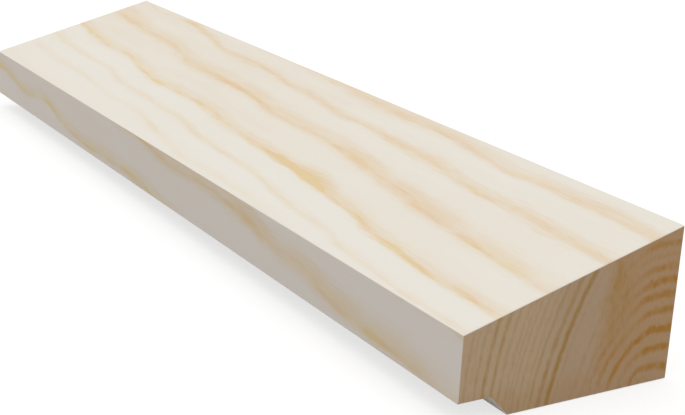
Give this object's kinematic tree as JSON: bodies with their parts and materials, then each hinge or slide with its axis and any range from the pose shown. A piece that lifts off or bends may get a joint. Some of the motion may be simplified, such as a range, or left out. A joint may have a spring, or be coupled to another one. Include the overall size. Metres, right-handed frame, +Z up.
{
  "type": "crown moulding",
  "caption": "Straight length of planed pine cap moulding: splayed top, square front and back faces, flat base and a rebate with a sloped shoulder under its front edge.",
  "frame": {"origin": "middle of the base of the moulding's overall box, on the surface it lies on, half way along its length and half way between its front and back faces", "axes": "+X along the length and the grain, +Y from the short front face towards the tall back face, +Z up from the flat base"},
  "size_m": [0.35, 0.07, 0.0439],
  "materials": {
    "pine": "planed, unfinished"
  },
  "bodies": {
    "root": {"crown_moulding": "pine"}
  },
  "joints": []
}
